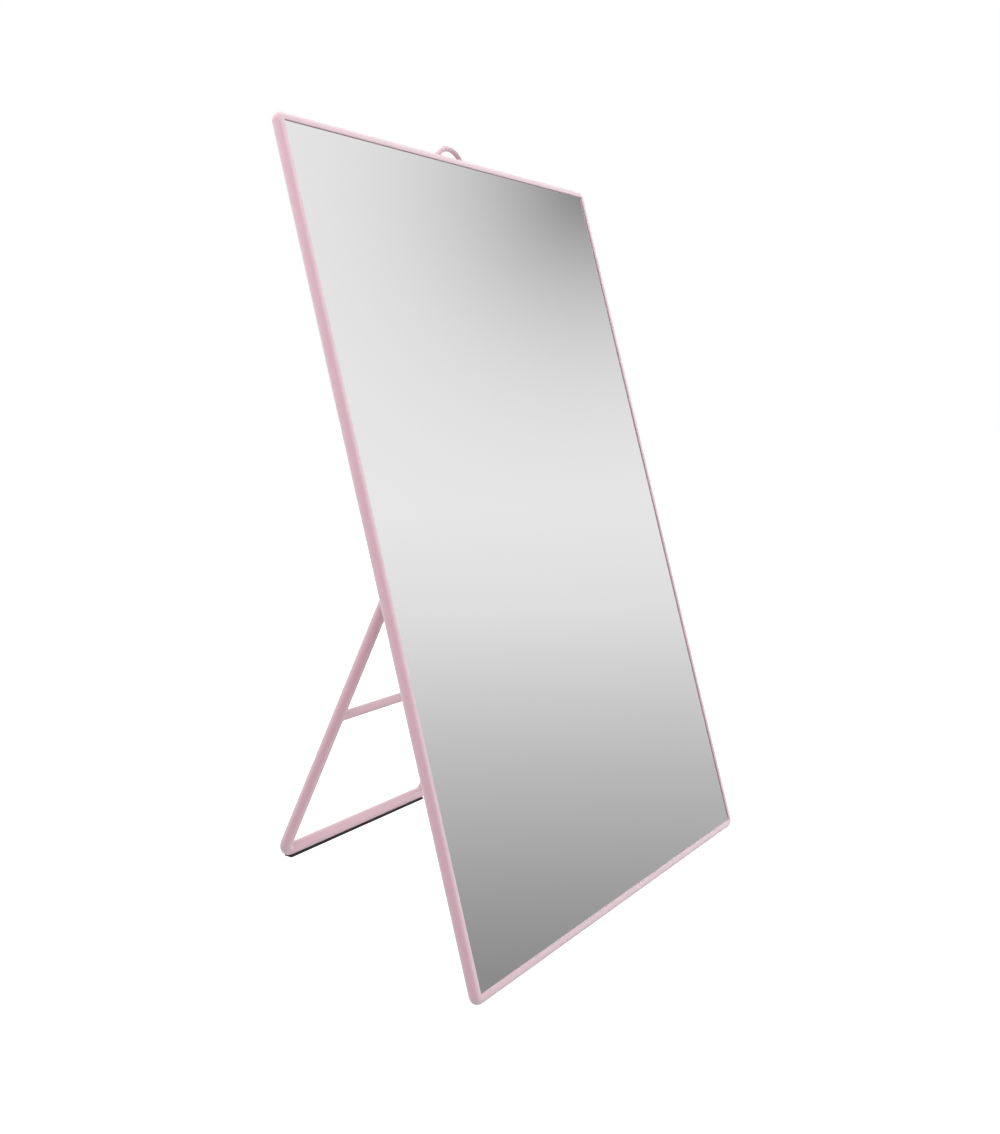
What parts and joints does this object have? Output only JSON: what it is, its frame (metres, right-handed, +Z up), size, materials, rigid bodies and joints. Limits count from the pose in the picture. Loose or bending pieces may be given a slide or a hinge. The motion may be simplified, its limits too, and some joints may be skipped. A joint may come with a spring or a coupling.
{
  "type": "standing hand mirror with folding leg",
  "caption": "Rectangular mirror in a thin rolled metal rim, with a wire hanging loop on top and a hinged rod leg behind that folds flat.",
  "frame": {"origin": "on the table, under the middle of the standing mirror's footprint", "axes": "+Z up, +X to the right across the mirror, the glass looks towards -Y and the leg stands on the +Y side"},
  "size_m": [0.2, 0.1406, 0.2936],
  "materials": {
    "pink_coat": "satin powder coat",
    "bare_steel": "plated, satin",
    "mirror_glass": "polished",
    "silvering": "silvered, painted behind",
    "liner": "foam",
    "nylon": "natural",
    "black_rubber": "matte"
  },
  "bodies": {
    "mirror": {"rim_channel": "pink_coat", "rim_joiner": "bare_steel", "mirror_glass": "mirror_glass", "silver_coat": "silvering", "foam_liner": "liner", "back_panel": "pink_coat", "hanging_loop": "pink_coat", "hinge_bracket": "pink_coat", "bracket_rivets": "bare_steel", "hinge_pin": "bare_steel", "hinge_washers": "nylon"},
    "leg": {"leg_frame": "pink_coat", "leg_crossbar": "pink_coat", "hinge_barrel": "pink_coat", "stop_tab": "pink_coat", "foot_strip": "black_rubber"}
  },
  "joints": [
    {"name": "leg_fold", "type": "hinge", "parent": "mirror", "child": "leg", "pos_m": [0, -0.00385, 0.19689], "axis": [1, 0, 0], "range_deg": [-36.2, 0]}
  ]
}
